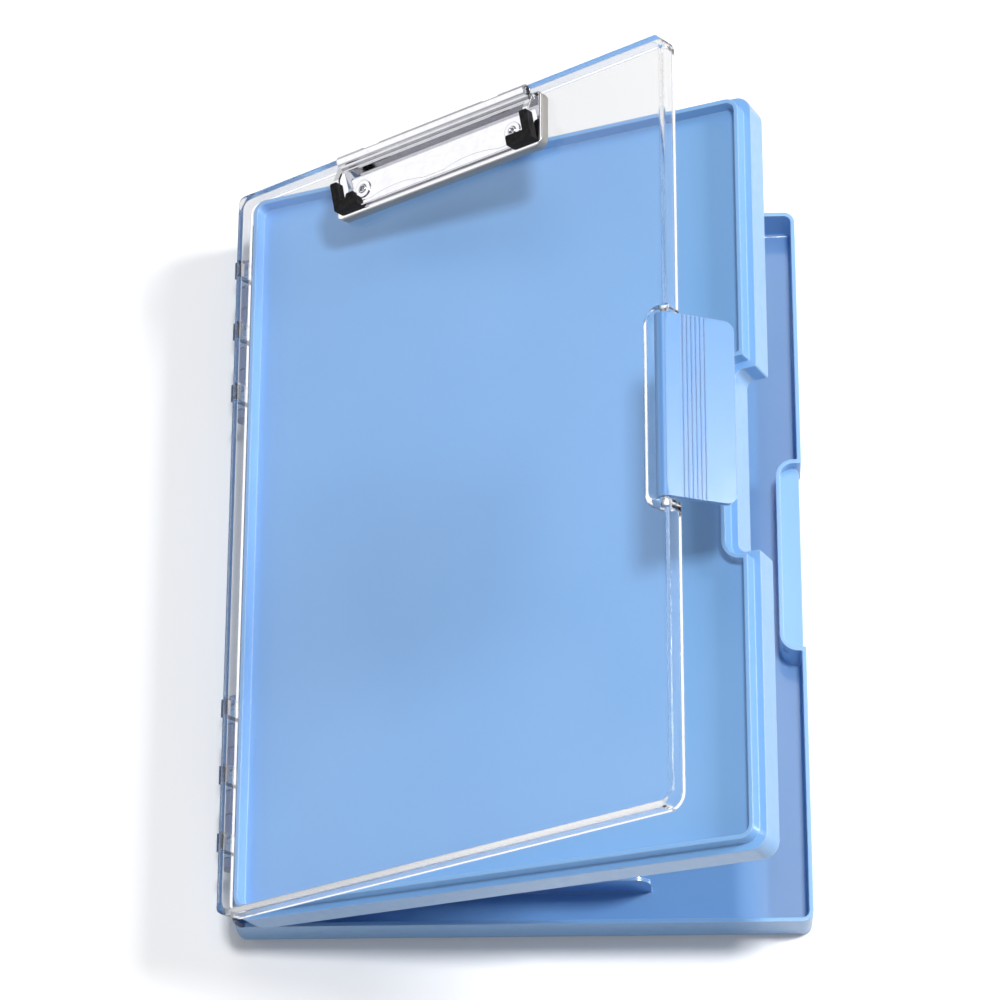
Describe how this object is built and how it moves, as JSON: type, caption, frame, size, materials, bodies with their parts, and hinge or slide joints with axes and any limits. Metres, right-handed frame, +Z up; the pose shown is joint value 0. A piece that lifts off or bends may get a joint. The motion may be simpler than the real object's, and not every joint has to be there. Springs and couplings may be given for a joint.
{
  "type": "storage clipboard box",
  "caption": "Storage clipboard box: hinged trays under a clear writing cover with a low-profile paper clip and a side latch.",
  "frame": {"origin": "centre of the closed leaves' footprint on the underside of the back tray, at the surface it lies on", "axes": "+X from the hinge side to the latch side, +Y along the hinge towards the clip end, +Z up out of the back tray"},
  "size_m": [0.2505, 0.336, 0.1855],
  "materials": {
    "blue_plastic": "satin",
    "latch_plastic": "satin",
    "clear_plastic": "gloss",
    "chrome_sheet": "polished",
    "steel_wire": "satin",
    "black_rubber": "matte"
  },
  "bodies": {
    "back_tray": {"back_tray": "blue_plastic", "upper_hinge_pin": "steel_wire", "lower_hinge_pin": "steel_wire"},
    "middle_tray": {"middle_tray": "blue_plastic"},
    "cover": {"clear_cover": "clear_plastic", "latch_pin": "steel_wire", "clip_base_plate": "chrome_sheet", "clip_rod": "steel_wire", "clip_rivets": "chrome_sheet", "rivet_washers": "steel_wire", "clip_spring_left": "steel_wire", "clip_spring_right": "steel_wire"},
    "latch": {"latch": "latch_plastic"},
    "clip_lever": {"clip_lever": "chrome_sheet", "clip_grip_left": "black_rubber", "clip_grip_right": "black_rubber"}
  },
  "joints": [
    {"name": "middle_tray_hinge", "type": "hinge", "parent": "back_tray", "child": "middle_tray", "pos_m": [-0.126, 0, 0.024], "axis": [0, -1, 0], "range_deg": [-23, 62]},
    {"name": "cover_hinge", "type": "hinge", "parent": "middle_tray", "child": "cover", "pos_m": [-0.126, 0, 0.024], "axis": [0, -1, 0], "range_deg": [-14, 74]},
    {"name": "latch_hinge", "type": "hinge", "parent": "cover", "child": "latch", "pos_m": [0.05888, 0, 0.1811], "axis": [0, -1, 0], "range_deg": [-30, 60]},
    {"name": "clip_lever_hinge", "type": "hinge", "parent": "cover", "child": "clip_lever", "pos_m": [-0.03926, 0.1589, 0.12192], "axis": [-0.7986, 0, -0.6018], "range_deg": [0, 85], "stiffness_Nm_per_rad": 0.06, "springref_deg": -28.65, "deforming": ["clip_spring_left", "clip_spring_right"]}
  ]
}
